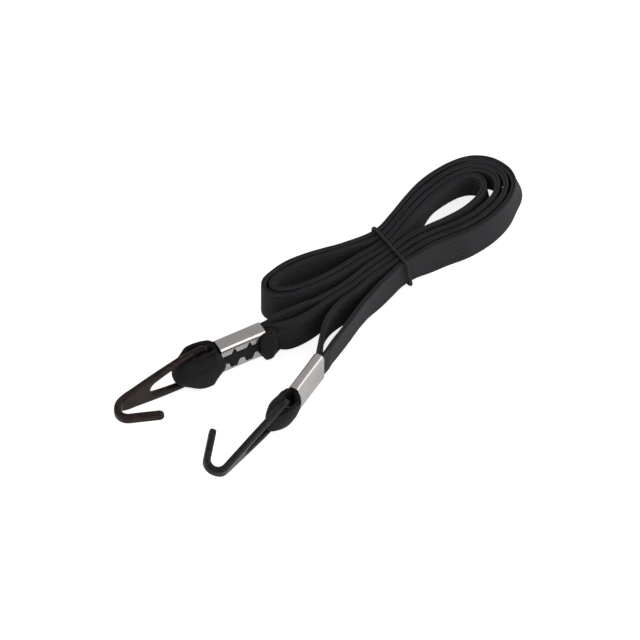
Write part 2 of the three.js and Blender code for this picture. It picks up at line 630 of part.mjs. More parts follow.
// The hook's centre line: straight from the eye end, round the bend and out to
// the tip, as stations with a width each. The eye bar's centre is the origin,
// the shank runs along X and the tip bends over to +Y.
function hookStations(reach) {
  const bendFoot = reach - BEND_RADIUS - HOOK_THICKNESS / 2;
  const eyeEnd = -EYE_BAR / 2;
  const eyeHalf = EYE_WIDTH / 2;
  const neckPlace = reach - NECK_DISTANCE;
  const neckHalf = NECK_WIDTH / 2;
  const tipHalf = TIP_WIDTH / 2;
  const taperEnd = bendFoot + bendLength / 2;
  const lineEnd = BLANK_LENGTH;
  const distances = [];
  for (let step = 0; step <= ROUND_STEPS; step += 1) {
    distances.push(eyeEnd + EYE_CORNER * (1 - Math.cos(step / ROUND_STEPS * Math.PI / 2)));
  }
  distances.push(...TAPER_SHARES.map((share) => lerp(EYE_TAPER_START, neckPlace, share)));
  for (let step = 0; step <= BEND_STEPS; step += 1) {
    distances.push(bendFoot + bendLength * step / BEND_STEPS);
  }
  for (let step = 0; step <= ROUND_STEPS; step += 1) {
    distances.push(lineEnd - tipHalf * (1 - Math.sin(step / ROUND_STEPS * Math.PI / 2)));
  }
  return distances.map((distance) => {
    let half = eyeHalf;
    if (distance < eyeEnd + EYE_CORNER) {
      const inset = EYE_CORNER - (distance - eyeEnd);
      half = eyeHalf - EYE_CORNER + Math.sqrt(Math.max(EYE_CORNER ** 2 - inset ** 2, 0));
    } else if (distance > lineEnd - tipHalf) {
      const past = distance - (lineEnd - tipHalf);
      half = Math.max(Math.sqrt(Math.max(tipHalf ** 2 - past ** 2, 0)), tipHalf * TIP_FLAT_SHARE);
    } else if (distance > neckPlace) {
      half = lerp(neckHalf, tipHalf, smooth((distance - neckPlace) / (taperEnd - neckPlace)));
    } else if (distance > EYE_TAPER_START) {
      const share = (distance - EYE_TAPER_START) / (neckPlace - EYE_TAPER_START);
      half = lerp(eyeHalf, neckHalf, share - TAPER_BOW_SHARE * share * (1 - share));
    }
    const turned = THREE.MathUtils.clamp((distance - bendFoot) / BEND_RADIUS, 0, BEND_TURN);
    const past = Math.max(distance - bendFoot - bendLength, 0);
    return {
      half,
      heading: turned,
      x: Math.min(distance, bendFoot) + Math.sin(turned) * BEND_RADIUS + Math.cos(turned) * past,
      y: (1 - Math.cos(turned)) * BEND_RADIUS + Math.sin(turned) * past,
    };
  });
}

// A hook is stamped from plate: the blank with its window, then the bend.
function plateHook(reach) {
  const rings = hookStations(reach).map(({ half, heading, x, y }) => {
    const chamfer = Math.min(HOOK_CHAMFER, half / 2);
    return chamferedRectangle(HOOK_THICKNESS, 2 * half, chamfer).map(([side, rise]) => new THREE.Vector3(
      x - Math.sin(heading) * side,
      y + Math.cos(heading) * side,
      rise,
    ));
  });
  const wide = windowWidth / 2;
  const start = EYE_BAR / 2;
  const end = start + WINDOW_LENGTH;
  const shape = new THREE.Shape();
  const noseCentre = end - WINDOW_NOSE;
  const fall = Math.atan2(wide - WINDOW_NOSE, noseCentre - EYE_TAPER_START);
  const halfWay = (EYE_TAPER_START + noseCentre) / 2;
  const bowed = lerp(wide, WINDOW_NOSE, WINDOW_BOW_SHARE);
  shape.moveTo(start, -wide + WINDOW_CORNER);
  shape.quadraticCurveTo(start, -wide, start + WINDOW_CORNER, -wide);
  shape.lineTo(EYE_TAPER_START, -wide);
  shape.quadraticCurveTo(
    halfWay, -bowed,
    noseCentre + Math.sin(fall) * WINDOW_NOSE, -Math.cos(fall) * WINDOW_NOSE,
  );
  shape.absarc(noseCentre, 0, WINDOW_NOSE, fall - Math.PI / 2, Math.PI / 2 - fall, false);
  shape.quadraticCurveTo(halfWay, bowed, EYE_TAPER_START, wide);
  shape.lineTo(start + WINDOW_CORNER, wide);
  shape.quadraticCurveTo(start, wide, start, wide - WINDOW_CORNER);
  const depth = HOOK_THICKNESS + 2 * CUT_OVERRUN;
  const cutter = new THREE.ExtrudeGeometry(shape, { depth, bevelEnabled: false, curveSegments: ROUND_STEPS });
  cutter.rotateX(Math.PI / 2);
  cutter.translate(0, depth / 2, 0);
  return fromManifold(toManifold(skin(rings, false)).subtract(toManifold(cutter)));
}

function mesh(name, geometry, material) {
  const piece = new THREE.Mesh(geometry, material);
  piece.name = name;
  return piece;
}

// Each end of the strap: ferrule, plies and hook in the frame of the ferrule's
// mouth.
function endGroup(mouth, heading, height, pieces) {
  const group = new THREE.Group();
  group.position.set(mouth[0], mouth[1], height);
  group.rotation.z = heading;
  group.add(...pieces);
  return group;
}

// A hook on its eye bar. Turned over, its tip bends to the rear.
function hookOnPivot(name, reach, pivot, rise, swing, roll, pitch, turnedOver) {
  const hook = mesh(name, plateHook(reach), COATED_STEEL);
  hook.position.set(pivot[0], pivot[1], rise);
  hook.rotation.order = 'ZYX';
  hook.rotation.z = swing;
  hook.rotation.y = -pitch;
  hook.rotation.x = turnedOver ? roll + Math.PI : roll;
  return hook;
}

const outerRouteA = plyRoute(
  OUTER_PLY_A_FRONT, OUTER_PLY_A_REAR, OUTER_PLY_A_TURN, outerPlyOffsetA, LOOP_A_DRIFT, OUTER_CUT_END,
);
const innerRouteA = plyRoute(
  INNER_PLY_A_FRONT, INNER_PLY_A_REAR, INNER_PLY_A_TURN, innerPlyOffsetA, LOOP_A_DRIFT, INNER_CUT_END,
);
const routeB = plyRoute(PLY_B_FRONT, PLY_B_REAR, PLY_B_TURN, plyOffsetB, LOOP_B_DRIFT, null);
const outerPlyA = plySolid(outerRouteA, OUTER_PLY_A_TURN, PLY_THICKNESS_A, HOOK_A_ROLL, LOOP_A_RISE);
const innerPlyA = plySolid(innerRouteA, INNER_PLY_A_TURN, PLY_THICKNESS_A, HOOK_A_ROLL, LOOP_A_RISE);
const plyB = plySolid(routeB, PLY_B_TURN, PLY_THICKNESS_B, HOOK_B_ROLL, LOOP_B_RISE);

const endA = endGroup(ferruleMouthA, FERRULE_A_HEADING, END_A_HEIGHT, [
  mesh('ferrule_a', ferrule(ferruleThicknessA, 1), BRIGHT_STEEL),
  mesh('eye_loop_a_outer', outerPlyA, ELASTIC_BLACK),
  mesh('eye_loop_a_inner', innerPlyA, ELASTIC_BLACK),
  hookOnPivot('hook_a', HOOK_A_REACH, PIVOT_A, PIVOT_A_RISE, HOOK_A_SWING, HOOK_A_ROLL, HOOK_A_PITCH, false),
]);

const endB = endGroup(ferruleMouthB, FERRULE_B_HEADING, END_B_HEIGHT, [
  mesh('ferrule_b', ferrule(ferruleThicknessB, -1), BRIGHT_STEEL),
  mesh('eye_loop_b', plyB, ELASTIC_BLACK),
  hookOnPivot('hook_b', HOOK_B_REACH, PIVOT_B, PIVOT_B_RISE, HOOK_B_SWING, HOOK_B_ROLL, HOOK_B_PITCH, true),
]);

const part = new THREE.Group();
part.add(
  mesh('strand_outer', strapSolid(outerStations, strandShape(OUTER_END_B_LEAN_REACH)), ELASTIC_BLACK),
  mesh('strand_inner', strapSolid(innerStations, strandShape(INNER_END_B_LEAN_REACH)), ELASTIC_BLACK),
  mesh('rubber_ring', rubberRing(), RUBBER_BLACK),
  endA,
  endB,
);

// The part's origin is under the middle of its box, on the surface it lies on.
part.updateMatrixWorld(true);
const box = new THREE.Box3().setFromObject(part, true);
part.position.set(-(box.min.x + box.max.x) / 2, -(box.min.y + box.max.y) / 2, 0);

export default new THREE.Group().add(part);
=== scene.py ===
import bmesh
import bpy
import math
import numpy as np
from mathutils import Matrix, Vector


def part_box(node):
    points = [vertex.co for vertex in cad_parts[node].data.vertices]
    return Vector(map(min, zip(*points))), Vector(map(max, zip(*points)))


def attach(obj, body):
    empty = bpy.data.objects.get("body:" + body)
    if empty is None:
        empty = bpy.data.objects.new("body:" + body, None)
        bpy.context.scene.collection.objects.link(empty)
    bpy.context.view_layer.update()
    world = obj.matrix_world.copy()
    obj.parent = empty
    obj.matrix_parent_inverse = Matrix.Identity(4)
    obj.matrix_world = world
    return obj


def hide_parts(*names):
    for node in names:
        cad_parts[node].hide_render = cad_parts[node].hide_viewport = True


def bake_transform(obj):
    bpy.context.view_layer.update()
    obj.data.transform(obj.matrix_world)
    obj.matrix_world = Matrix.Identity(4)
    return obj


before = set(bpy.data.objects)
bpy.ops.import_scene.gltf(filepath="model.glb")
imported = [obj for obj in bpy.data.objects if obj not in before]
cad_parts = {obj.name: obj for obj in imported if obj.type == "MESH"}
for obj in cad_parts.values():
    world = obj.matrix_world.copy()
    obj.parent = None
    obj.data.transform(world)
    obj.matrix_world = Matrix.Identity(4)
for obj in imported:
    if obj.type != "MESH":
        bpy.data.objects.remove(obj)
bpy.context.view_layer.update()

# The camera looks down on the lying strap from the side of the hooks, from
# far away. It is set on the waist of the hank, which is found from ferrule A.
mm = 0.001
entry_a = (-66, -12.8)
lo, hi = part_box("ferrule_a")
waist = Vector((hi.x - entry_a[0] * mm, (lo.y + hi.y) / 2 - entry_a[1] * mm, 0.0))
hank_turn = math.radians(29.4)
climb = math.asin(0.75)
away = Vector((math.sin(hank_turn), math.cos(hank_turn), 0.0))
right = Vector((math.cos(hank_turn), -math.sin(hank_turn), 0.0))
target = waist - right * 0.028 - away * 0.02592
distance, seen_width, sensor_width = 12.0, 0.256, 36.0


def place_facing(name, data, place, way):
    thing = bpy.data.objects.new(name, data)
    thing.location = place
    thing.rotation_mode = "QUATERNION"
    thing.rotation_quaternion = (-way).to_track_quat("-Z", "Y")
    bpy.context.scene.collection.objects.link(thing)
    return thing


back = -away * math.cos(climb) + Vector((0.0, 0.0, math.sin(climb)))
camera_data = bpy.data.cameras.new("view")
camera_data.sensor_width = sensor_width
camera_data.lens = sensor_width * distance / seen_width
camera_data.clip_end = 30.0
bpy.context.scene.camera = place_facing("view", camera_data, target + back * distance, back)

# The elastic strap is webbing woven over rubber cores. One length is used
# doubled: it lies on edge, folded into a hank, and is crimped at each end.
# Its line runs through given points, in millimetres from the waist:
# the right-hand folds, the left-hand ones and the four free ends.
outer_fold = [
    (12, -8.2), (21, -8), (32, -8.4), (45, -5.8), (55, -0.5), (60.3, 6), (61.1, 13.2),
    (58.2, 20.3), (52.8, 24.4), (45.2, 26.3), (36.5, 25.7), (27, 23.2), (9, 14.3),
]
inner_fold = [
    (8.3, 0.8), (18.6, 1.5), (27, 1.7), (36, 2.8), (45, 6.3), (49.1, 10.4), (49.2, 14.6),
    (47, 17), (43.3, 17.8), (36.3, 17), (27.3, 14.4), (16.7, 9.7), (6, 4.3),
]
# Two more folds lie between these: spread evenly at the waist, and by fold_shares
# where fan_shares says 1.
fold_shares = [0, 0.27, 0.55, 1]
fan_shares = [0, 0.3, 0.6, 0.8, 1, 1, 1, 0.5, 0.2, 0, 0, 0, 0]
outer_return = [
    (-15, -1.5), (-30, -3.9), (-38, -3.8), (-47, -3.2), (-52.8, -0.5), (-55, 4.5),
    (-53, 8.5), (-46.8, 11.1), (-40.3, 12.4), (-32, 12.2), (-24.6, 11.2), (-17, 9.9), (-9, 9.6),
]
inner_return = [
    (-15, 1.3), (-30, -1.2), (-40, -1.1), (-47, 0.2), (-50.6, 2.4), (-51.6, 5),
    (-49.3, 7.4), (-43, 9.1), (-32, 9.3), (-17, 7.5), (-9, 7),
]
end_4 = [(-12, -4.5), (-25, -8.5), (-38, -10.4), (-50, -10), (-60, -10.2)]
end_3 = [(-12, -7.5), (-25, -11.2), (-35.3, -13), (-46.5, -15.4), (-54, -15.6), (-60.5, -14)]
end_2 = [(-13.7, -10.8), (-22.7, -13.8), (-32.2, -16.5), (-39.2, -20.2), (-44.6, -25.1), (-48.4, -30.4)]
end_1 = [(-6.5, -12.6), (-15, -16.6), (-24.4, -21.3), (-33.2, -26.7), (-42, -31.8), (-47.6, -34.7)]
strap_width, strap_thickness = 16, 2
waist_spacing, waist_shift = 0.9, 0.175


# The eight runs go through the ring side by side, numbered from the near side.
def waist_place(run):
    return (0, (run - 4.5) * (strap_thickness + waist_spacing) + waist_shift)


def right_fold(fold):
    folded = []
    for outer, inner, fan in zip(outer_fold, inner_fold, fan_shares):
        share = fold / 3 + (fold_shares[fold] - fold / 3) * fan
        folded.append(tuple(a + (b - a) * share for a, b in zip(outer, inner)))
    return folded


def step(t):
    t = np.clip(t, 0.0, 1.0)
    return t * t * (3 - 2 * t)


# The line is smooth through its points, with places evenly spaced along it.
def smooth_line(points, spacing):
    points = np.array(points, float)
    padded = np.vstack([2 * points[0] - points[1], points, 2 * points[-1] - points[-2]])
    share = np.linspace(0.0, 1.0, 48, endpoint=False)[:, None]
    dense = []
    for p0, p1, p2, p3 in zip(padded, padded[1:], padded[2:], padded[3:]):
        g0, g1, g2 = (math.sqrt(math.dist(a, b)) for a, b in ((p0, p1), (p1, p2), (p2, p3)))
        leave = ((p1 - p0) / g0 - (p2 - p0) / (g0 + g1) + (p2 - p1) / g1) * g1
        reach = ((p2 - p1) / g1 - (p3 - p1) / (g1 + g2) + (p3 - p2) / g2) * g1
        bend = 3 * (p2 - p1) - 2 * leave - reach
        twist = 2 * (p1 - p2) + leave + reach
        dense.append(p1 + share * (leave + share * (bend + share * twist)))
    dense = np.vstack(dense + [points[-1:]])
    walked = np.append(0.0, np.cumsum(np.linalg.norm(np.diff(dense, axis=0), axis=1)))
    at = np.linspace(0.0, walked[-1], round(walked[-1] / spacing) + 1)
    places = np.stack([np.interp(at, walked, dense[:, axis]) for axis in (0, 1)], axis=1)
    ahead = np.gradient(places, axis=0)
    return places, ahead / np.linalg.norm(ahead, axis=1, keepdims=True), at


# The two ends. Each ferrule has its own frame: along from its mouth towards the
# hook, and across, with its mouth, heading and height above the surface.
ferrule_length, ferrule_height = 20.5, 14.6
wall, play, ply_gap = 0.6, 0.3, 0.45
gathered = ferrule_height - 2 * wall - 3 * play
ply_a, ply_b = 1.15, 1.3
inner_offset_a = (ply_gap + ply_a) / 2
outer_offset_a = inner_offset_a + ply_a + play
offset_b = (ply_gap + ply_b) / 2
half_a = outer_offset_a + ply_a / 2 + play + wall
half_b = offset_b + ply_b / 2 + play + wall
height_a, height_b = 9.0, 8.6
straight = 2.2


def end_frame(entry, heading, height):
    turn = math.radians(heading)
    mouth = [entry[0] + math.cos(turn) * ferrule_length, entry[1] + math.sin(turn) * ferrule_length, height]
    return Matrix.Translation(mouth) @ Matrix.Rotation(turn, 4, "Z")


def run_in(end, across):
    alongs = (-ferrule_length - straight, -ferrule_length + straight, -(ferrule_length + play) / 2)
    places = [end @ Vector((along, across, 0)) for along in alongs]
    return [(place.x, place.y) for place in places]


end_a = end_frame(entry_a, 180, height_a)
end_b = end_frame((-53.23, -36.64), 211, height_b)

# A stretch of strap as arrays, ring by ring: place, way ahead, way up across its
# width, width and thickness. A run stands on its lower edge, leans outwards in
# the folds, is squeezed and lifted under the ring and gathered at a ferrule.
fold_middle = (38, 9)
rear_lean, far_lean, fold_swelling = 3.7, 2.7, 0.9
lean_a, lean_b, reach_a, lean_growth, lean_fading = 0.4, 2.1, 11, 9, 18
waist_reach, waist_lift, waist_drop = 11, 1.8, 0.8
gather_length, thinning_length = 10, 5


def run_of_strap(route, reach_b):
    places, ahead, walked = smooth_line(route, 1.0)
    inside = ferrule_length / 2 + straight
    from_a = walked - inside
    from_b = walked[-1] - walked - inside
    x, y = places.T
    across = np.stack([-ahead[:, 1], ahead[:, 0]], axis=1)
    right_side = np.sign(across[:, 0] * (x - fold_middle[0]) + across[:, 1] * (y - fold_middle[1]))
    facing = step((right_side * across[:, 1] + 0.8) / 1.2)
    on_right = facing * step((x + 0.47 * y - 20) / 20)
    outwards = (rear_lean + far_lean * step((x - 47) / 13)) * on_right * right_side
    near_a = step(from_a / lean_growth) * (1 - step((from_a - reach_a) / lean_fading))
    near_b = step(from_b / lean_growth) * (1 - step((from_b - reach_b) / lean_fading))
    lean = across * (outwards - lean_a * near_a - lean_b * near_b)[:, None]
    squeeze = np.exp(-((x / waist_reach) ** 4))
    gather = 1 - step(np.minimum(from_a, from_b) / gather_length)
    middle = np.where(from_a < from_b, height_a, height_b)
    low = waist_lift * squeeze * (1 - gather) + (middle - gathered / 2) * gather
    high = (strap_width - waist_drop * squeeze) * (1 - gather) + (middle + gathered / 2) * gather
    width = high - low
    tilt = np.linalg.norm(lean, axis=1)
    upright = np.sqrt(width ** 2 - tilt ** 2)
    swelling = fold_swelling * on_right * step((x - 42) / 12)
    thinning = sum((strap_thickness - ply) * (1 - step(way / thinning_length))
                   for ply, way in ((ply_a, from_a), (ply_b, from_b)))
    middle_line = low + upright / 2 + tilt / width * strap_thickness / 2
    return {
        "place": np.column_stack([places + lean / 2, middle_line]),
        "ahead": np.column_stack([ahead, np.zeros(len(x))]),
        "up": np.column_stack([-lean / width[:, None], upright / width]),
        "width": width,
        "thickness": strap_thickness + swelling - thinning,
        "out": np.zeros((len(x), 3)),
        "shape": np.zeros((len(x), 4)),
    }


# A loop round an eye bar: out of the ferrule at the rear, round the bar and back
# in at the front. It puffs out at the mouth and narrows to pass the hook's
# window. Both its edges are drawn in, the upper ones over the eye as far as
# closing tells, and lifted. Front values come first, then the rear ones.
# A cut end comes out at the ferrule's other end and curls up as a thick tuft.
loop_width, loop_swelling, edge_pull = 14.4, 0.45, 0.6
tuft_width, tuft_thickness, tuft_flare = 1.8, 1.3, 1.4


def eye_loop(end, front, rear, turn, bar, offset, ply, drift, rise, narrow, crown, closing, lifts, tuck,
             roll=0.0, puff=0.0, cut_end=None):
    route = [(-(ferrule_length - play) / 2, -offset), (-2, -offset), (0, -offset)]
    route += [(along, drift * along - across) for along, across in rear] + [(turn, drift * turn)]
    route += [(along, drift * along + across) for along, across in reversed(front)]
    route += [(0, offset), (-2, offset)]
    if cut_end:
        route += [(-ferrule_length + 2, offset), (-ferrule_length, offset)]
        route += [(-ferrule_length - along, offset + across) for along, across in cut_end]
    else:
        route += [(-(ferrule_length - play) / 2, offset)]
    places, ahead, walked = smooth_line(route, 0.4)
    x, y = places.T
    flat = np.zeros(len(x))
    tuft, trimmed = flat, flat
    if cut_end:
        tuft = step((walked - walked[np.argmax(x < -ferrule_length)]) / 3)
        trimmed = step((walked - walked[-1] + 2.6) / 2.6)
    along = np.maximum(x, 0)
    outside = np.flatnonzero(x > 0)
    out_of_mouth = (walked > walked[outside[0]]) & (walked < walked[outside[-1]])
    forward = step((y - drift * along) / 1.5 + 0.5)
    puffed = out_of_mouth * forward * (1 - step(along / 6))
    at_turn = step((along - turn + 8) / 6)
    beside_eye = step((along - bar + 2.2) / 3) * (1 - step((along - 0.66 * turn) / 5))
    drawn = edge_pull * step((along - 0.8) / 3) + (crown - edge_pull) * at_turn
    drawn = drawn + puff * puffed - tuft_flare * tuft
    close = (closing[0] * forward + closing[1] * (1 - forward)) * beside_eye
    lift = (lifts[0] * forward + lifts[1] * (1 - forward)) * beside_eye
    tucked = tuck[0] * (1 - forward) * step((along - 3) / 4) + tuck[1] * at_turn
    narrowing = step((along - 8) / (0.9 * turn - 8))
    swollen = gathered + (loop_width - gathered) * step(along / 3)
    width = swollen + (narrow - swollen) * narrowing + tuft_width * tuft
    thickness = ply + loop_swelling * step(along / 5) * (1 - 0.4 * narrowing) + tuft_thickness * tuft
    lean = roll * step(along / 4.5)
    ahead = np.column_stack([ahead, flat])
    up = np.column_stack([flat, -np.sin(lean), np.cos(lean)])
    local = np.column_stack([places, y * np.sin(lean) + rise * narrowing + 0.2 * tuft])
    turned = np.array(end.to_3x3())
    return {
        "place": local @ turned.T + np.array(end.translation),
        "ahead": ahead @ turned.T,
        "up": up @ turned.T,
        "width": width * (1 - 0.34 * trimmed),
        "thickness": thickness * (1 - 0.5 * trimmed),
        "out": (np.cross(ahead, up) + np.outer(puffed, (0, 0.8, 0))) @ turned.T,
        "shape": np.column_stack([drawn, close, lift, tucked]),
    }


def reversed_run(run):
    turned_back = {key: values[::-1] for key, values in run.items()}
    turned_back["ahead"] = -turned_back["ahead"]
    return turned_back


outer_run = run_of_strap(
    run_in(end_a, -outer_offset_a)[::-1] + end_4[::-1] + [waist_place(4)] + right_fold(3) + [waist_place(5)]
    + outer_return + [waist_place(8)] + right_fold(0)[::-1] + [waist_place(1)] + end_1
    + run_in(end_b, offset_b), reach_b=34)
inner_run = run_of_strap(
    run_in(end_a, -inner_offset_a)[::-1] + end_3[::-1] + [waist_place(3)] + right_fold(2) + [waist_place(6)]
    + inner_return + [waist_place(7)] + right_fold(1)[::-1] + [waist_place(2)] + end_2
    + run_in(end_b, -offset_b), reach_b=18)
outer_loop = eye_loop(
    end_a, turn=19.0, bar=5.0, offset=outer_offset_a, ply=ply_a, drift=0.04, rise=0.3, narrow=11.6,
    front=[(0.2, 3.1), (-0.6, 4.3), (-0.4, 5.5), (1.2, 6.3), (4.5, 6.6), (8.5, 6.4), (12.5, 5.6), (16, 4.1),
           (18.2, 2)],
    rear=[(0.5, 2.9), (1.7, 4.1), (3.8, 5), (6.5, 5.6), (10, 6), (13.6, 6), (16.8, 4.8), (18.7, 2.4)],
    crown=2.8, puff=2.2, closing=(1.6, 0.2), lifts=(-0.2, 0.4), tuck=(0.0, -1.3),
    cut_end=[(1.2, 0.7), (2.6, 1.9), (2.7, 3.4), (1.2, 4.2), (-1.2, 3.9), (-3.4, 3.1)])
inner_loop = eye_loop(
    end_a, turn=17.0, bar=5.0, offset=inner_offset_a, ply=ply_a, drift=0.04, rise=0.6, narrow=11.4,
    front=[(1.2, 1.3), (2.6, 2.6), (4.4, 3.8), (6.5, 4.3), (10, 4.4), (13.5, 3.7), (15.9, 2.1)],
    rear=[(1.4, 1.4), (2.7, 2.5), (4.5, 3.3), (6.5, 3.8), (10, 4.1), (13.5, 3.6), (15.9, 2.2)],
    crown=2.0, puff=0.4, closing=(1.7, 4.0), lifts=(0.5, 3.5), tuck=(0.0, -0.8),
    cut_end=[(1.3, 0.8), (2.6, 1.8), (4, 2.5), (5.6, 2.8)])
loop_b = eye_loop(
    end_b, turn=15.6, bar=6.75, offset=offset_b, ply=ply_b, drift=-0.13, rise=-0.9, narrow=11.2,
    front=[(0.5, 1.4), (1.3, 2.5), (2.6, 3.6), (4.6, 4.3), (7, 4.4), (9.5, 4), (12, 3.2), (14.3, 1.9)],
    rear=[(0.8, 1.5), (2.2, 2.9), (4.3, 4.1), (6.8, 4.5), (9.5, 4.3), (12.3, 3.3), (14.6, 1.8)],
    crown=1.4, closing=(0.3, 2.6), lifts=(0.4, 1.6), tuck=(1.0, -0.5), roll=math.radians(-18))
order = (reversed_run(inner_loop), inner_run, loop_b, reversed_run(outer_run), outer_loop)
strap = {key: np.concatenate([run[key] for run in order]) for key in inner_run}

# The strap's section, anticlockwise: each face has six ribs over its rubber
# cores, and each edge has two rounded shoulders with a groove between them.
# A row is (side in half thicknesses, rise in half widths, rise in mm).
shoulder, rib_depth = 0.9, 0.13
faces = [(1 - rib_depth * (1 - abs(math.sin(math.pi * i / 5))) ** 1.4, i / 15 - 1, shoulder * (1 - i / 15))
         for i in range(31)]
edge = [(0.97, 1, -0.5), (0.88, 1, -0.2), (0.74, 1, -0.03), (0.6, 1, 0), (0.46, 1, -0.1), (0.28, 1, -0.44),
        (0, 1, -0.66)]
edge += [(-side, share, drop) for side, share, drop in edge[-2::-1]]
half_section = np.array(faces + edge)
section = np.vstack([half_section, -half_section])
across = np.cross(strap["up"], strap["ahead"])
across /= np.linalg.norm(across, axis=1, keepdims=True)
side = section[:, 0] * strap["thickness"][:, None] / 2
rise = section[:, 1] * strap["width"][:, None] / 2 + section[:, 2]
height = 2 * rise / strap["width"][:, None]
drawn, close, lift, tuck = (strap["shape"][:, k, None] for k in range(4))
inwards = drawn * height ** 2 + close * step((height - 0.25) / 0.75) + tuck * step((0.3 - height) / 1.3)
rise = rise + lift * step((height - 0.1) / 0.9)
surface = strap["place"][:, None] + across[:, None] * side[..., None]
surface = surface + strap["up"][:, None] * rise[..., None] - strap["out"][:, None] * inwards[..., None]

# The seam of a ferrule stays open between two notched lips, and the strap next
# to it swells out between them and into the notches.
seam_top, seam_bottom = 2.8, -2.1
notch_places = [-ferrule_length * share for share in (0.29, 0.63)]
upper_notch = (2.3, 1.2, 0.24)
lower_notch = (3.0, 2.4, 1.34)
swell_height, swell_run, margin = 1.05, 0.8, 0.2


def notch_depth(along, notch):
    depth, edge_half, root_half = notch
    nearest = np.minimum(*(abs(along - place) for place in notch_places))
    return depth * np.clip((edge_half - nearest) / (edge_half - root_half), 0, 1)


for end, half, seam_side in ((end_a, half_a, 1), (end_b, half_b, -1)):
    inverse = np.array(end.inverted())
    local = surface @ inverse[:3, :3].T + inverse[:3, 3]
    along, out, up = local[..., 0], local[..., 1] * seam_side, local[..., 2]
    room = np.minimum(seam_top + notch_depth(along, upper_notch) - up,
                      up - seam_bottom + notch_depth(along, lower_notch))
    inside = (along > -ferrule_length - margin) & (along < margin)
    inside &= (out > half - wall - play - 0.5) & (out < half)
    swell = np.where(inside, swell_height * step(room / swell_run), 0.0)
    surface = surface + swell[..., None] * np.array(end.to_3x3() @ Vector((0, seam_side, 0)))

# The strap in six stretches, each a mesh of its own: they meet under the
# rubber ring and inside ferrule B, where neither side of the joint can be seen.
# The stretches that hold a loop stand alone, and the others ride on the strap. A row is
# a name, the first and last place, the nodes it stands for, and its hook and end.
surface = surface * mm + np.array(waist)
line = strap["place"] * mm + np.array(waist)
walked = np.append(0.0, np.cumsum(np.linalg.norm(np.diff(line, axis=0), axis=1)))
girth_steps = np.diff(section[:, 1:] @ [[0, strap_width / 2], [1, 1]], axis=0)
girth = np.append(0.0, np.cumsum(np.linalg.norm(girth_steps, axis=1)))
wrapped = np.concatenate([surface[:, -1:], surface, surface[:, :1]], axis=1)
normals = np.cross((wrapped[:, 2:] - wrapped[:, :-2]), np.gradient(surface, axis=0))
normals /= np.linalg.norm(normals, axis=2, keepdims=True)
from_waist = strap["place"][:, 0]
# True on the loop stretches and their cut ends, which take the darker elastic: painted shade.
painted_shade_on_loops = np.concatenate([np.full(len(run["width"]), k % 2 == 0) for k, run in enumerate(order)])
last_ring = len(line) - 1
crossings = [i for i in range(last_ring) if from_waist[i] * from_waist[i + 1] <= 0 and from_waist[i] != 0]
mid_b = sum(len(run["width"]) for run in order[:3])
stretches = [
    ("strap_inner_end", 0, crossings[1], ("strand_inner", "eye_loop_a_inner"), "hook_a", end_a),
    ("strap_inner_return", crossings[1], crossings[2], ("strand_inner",), None, None),
    ("strap_middle", crossings[2], mid_b, ("strand_inner", "eye_loop_b"), "hook_b", end_b),
    ("strap_outer_fold", mid_b, crossings[5], ("strand_outer",), None, None),
    ("strap_outer_return", crossings[5], crossings[6], ("strand_outer",), None, None),
    ("strap_outer_end", crossings[6], last_ring, ("strand_outer", "eye_loop_a_outer"), "hook_a", end_a),
]
seam_step, turning = 0.4, (0.3, 6.3)


def mesh_object(name, places, polygons, normals=None):
    mesh = bpy.data.meshes.new(name)
    mesh.from_pydata([tuple(place) for place in places], [], polygons)
    mesh.polygons.foreach_set("use_smooth", [True] * len(mesh.polygons))
    if normals is not None:
        mesh.normals_split_custom_set_from_vertices([tuple(normal) for normal in normals])
    piece = bpy.data.objects.new(name, mesh)
    bpy.context.scene.collection.objects.link(piece)
    return piece


def tube_polygons(count, sides, steps):
    return [(ring * sides + i, ring * sides + (i + 1) % sides,
             (ring + 1) % count * sides + (i + 1) % sides, (ring + 1) % count * sides + i)
            for ring in range(steps) for i in range(sides)]


straps = []
for name, first, last, nodes, hook_body, end in stretches:
    rings = surface[first:last + 1]
    count, sides = rings.shape[:2]
    polygons = tube_polygons(count, sides, count - 1)
    if first == 0:
        polygons.append(tuple(range(sides))[::-1])
    if last == last_ring:
        polygons.append(tuple(range((count - 1) * sides, count * sides)))
    piece = mesh_object(name, rings.reshape(-1, 3), polygons, normals[first:last + 1].reshape(-1, 3))
    layer = piece.data.uv_layers.new(name="weave")
    for polygon in piece.data.polygons:
        wraps = {vertex % sides for vertex in polygon.vertices} >= {0, sides - 1}
        for k in polygon.loop_indices:
            ring, i = divmod(piece.data.loops[k].vertex_index, sides)
            round_it = girth[-1] + seam_step if wraps and i == 0 else girth[i]
            layer.data[k].uv = (walked[first + ring] * 100, round_it / 10)
        # The loops get the second, darker elastic: painted shade.
        polygon.material_index = int(painted_shade_on_loops[first + min(polygon.vertices) // sides])
    if hook_body:
        start, stop = (tuple(waist + (end @ Vector((along, 0, 0))) * mm) for along in turning)
        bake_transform(piece)
    else:
        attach(piece, "strap")
    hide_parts(*nodes)
    straps.append(piece)


# Nodes are made with their inputs by name or number, and a socket is linked.
def add_node(tree, kind, inputs=(), **settings):
    node = tree.nodes.new(kind)
    for key, value in settings.items():
        setattr(node, key, value)
    for key, value in dict(inputs).items():
        if isinstance(value, bpy.types.NodeSocket):
            tree.links.new(value, node.inputs[key])
        else:
            node.inputs[key].default_value = value
    return node


def combine(tree, operation, *values):
    return add_node(tree, "ShaderNodeMath", dict(enumerate(values)), operation=operation).outputs[0]


def noise(tree, place, scale, detail, roughness=0.5):
    return add_node(tree, "ShaderNodeTexNoise", {
        "Vector": place, "Scale": scale, "Detail": detail, "Roughness": roughness}).outputs["Fac"]


def ranged(tree, value, low=0.0, high=1.0, to_low=0.0, to_high=1.0):
    return add_node(tree, "ShaderNodeMapRange", {
        "Value": value, "From Min": low, "From Max": high, "To Min": to_low, "To Max": to_high,
    }).outputs["Result"]


